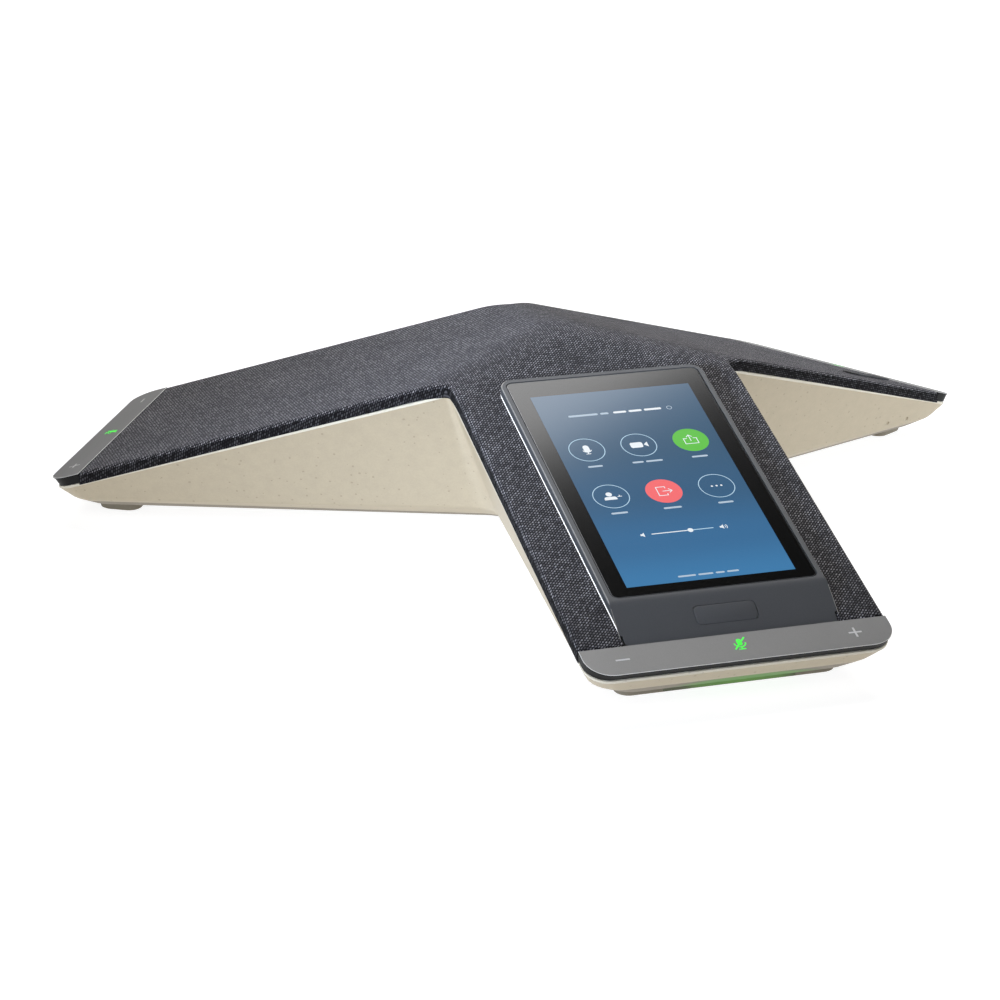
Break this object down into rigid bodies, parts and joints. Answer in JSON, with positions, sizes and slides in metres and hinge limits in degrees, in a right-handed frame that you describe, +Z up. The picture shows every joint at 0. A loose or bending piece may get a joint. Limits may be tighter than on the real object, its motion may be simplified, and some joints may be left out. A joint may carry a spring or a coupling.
{
  "type": "desk ip phone",
  "caption": "Three-legged tabletop conference IP phone with a fabric-covered top, tilted touch screen, home key, touch strips and rear connector bay.",
  "frame": {"origin": "centre of the footprint box, on the table under the feet", "axes": "+X to the right as the user faces the screen, +Y away from the user, +Z up; the screen leg points along -Y"},
  "size_m": [0.3812, 0.3328, 0.0769],
  "materials": {
    "champagne_plastic": "fine speckled satin",
    "taupe_plastic": "matt",
    "charcoal_fabric": "heathered acoustic weave",
    "black_plastic": "matt moulded",
    "gloss_black": "gloss",
    "satin_grey_metal": "satin metallic",
    "slate_plastic": "satin",
    "cover_glass": "polished",
    "display_blue": "display module",
    "sheet_steel": "plain",
    "ferrite": "dull",
    "paper_cone": "pressed pulp",
    "taupe_rubber": "matt",
    "black_rubber": "matt",
    "circuit_board": "solder mask",
    "light_pipe_green": "frosted",
    "antenna_white": "plain"
  },
  "bodies": {
    "housing": {"badge_plaque": "black_plastic", "base_plate": "taupe_plastic", "base_screw_front_a": "sheet_steel", "base_screw_front_b": "sheet_steel", "base_screw_left_a": "sheet_steel", "base_screw_left_b": "sheet_steel", "base_screw_right_a": "sheet_steel", "base_screw_right_b": "sheet_steel", "base_shell": "champagne_plastic", "connector_bay": "black_plastic", "fabric_cover": "charcoal_fabric", "foot_front": "taupe_rubber", "foot_left": "taupe_rubber", "foot_right": "taupe_rubber", "host_jack": "sheet_steel", "key_board": "circuit_board", "key_switch": "black_plastic", "lcd_panel": "display_blue", "light_pipe_front": "light_pipe_green", "light_pipe_left": "light_pipe_green", "light_pipe_right": "light_pipe_green", "main_board": "circuit_board", "microphone_boot_front": "black_rubber", "microphone_boot_left": "black_rubber", "microphone_boot_right": "black_rubber", "microphone_front": "sheet_steel", "microphone_left": "sheet_steel", "microphone_right": "sheet_steel", "network_jack": "sheet_steel", "port_board": "circuit_board", "processor_shield": "sheet_steel", "radio_antenna": "antenna_white", "screen_bezel": "slate_plastic", "screen_bracket": "sheet_steel", "screen_glass": "cover_glass", "service_jack": "sheet_steel", "speaker_basket": "sheet_steel", "speaker_magnet": "ferrite", "speaker_surround": "black_rubber", "strip_carrier_front": "gloss_black", "strip_carrier_left": "gloss_black", "strip_carrier_right": "gloss_black", "top_frame": "black_plastic", "touch_board_front": "circuit_board", "touch_board_left": "circuit_board", "touch_board_right": "circuit_board", "touch_strip_front": "satin_grey_metal", "touch_strip_left": "satin_grey_metal", "touch_strip_right": "satin_grey_metal"},
    "home_key": {"home_key": "slate_plastic"},
    "speaker_cone": {"speaker_cone": "paper_cone"}
  },
  "joints": [
    {"name": "home_key_press", "type": "slide", "parent": "housing", "child": "home_key", "axis": [0, 0.6007, -0.7995], "range_m": [0, 0.0006], "stiffness_N_per_m": 1500, "springref_m": -0.0008},
    {"name": "speaker_cone_travel", "type": "slide", "parent": "housing", "child": "speaker_cone", "axis": [0, 0, 1], "range_m": [-0.001, 0.001], "stiffness_N_per_m": 2000}
  ]
}
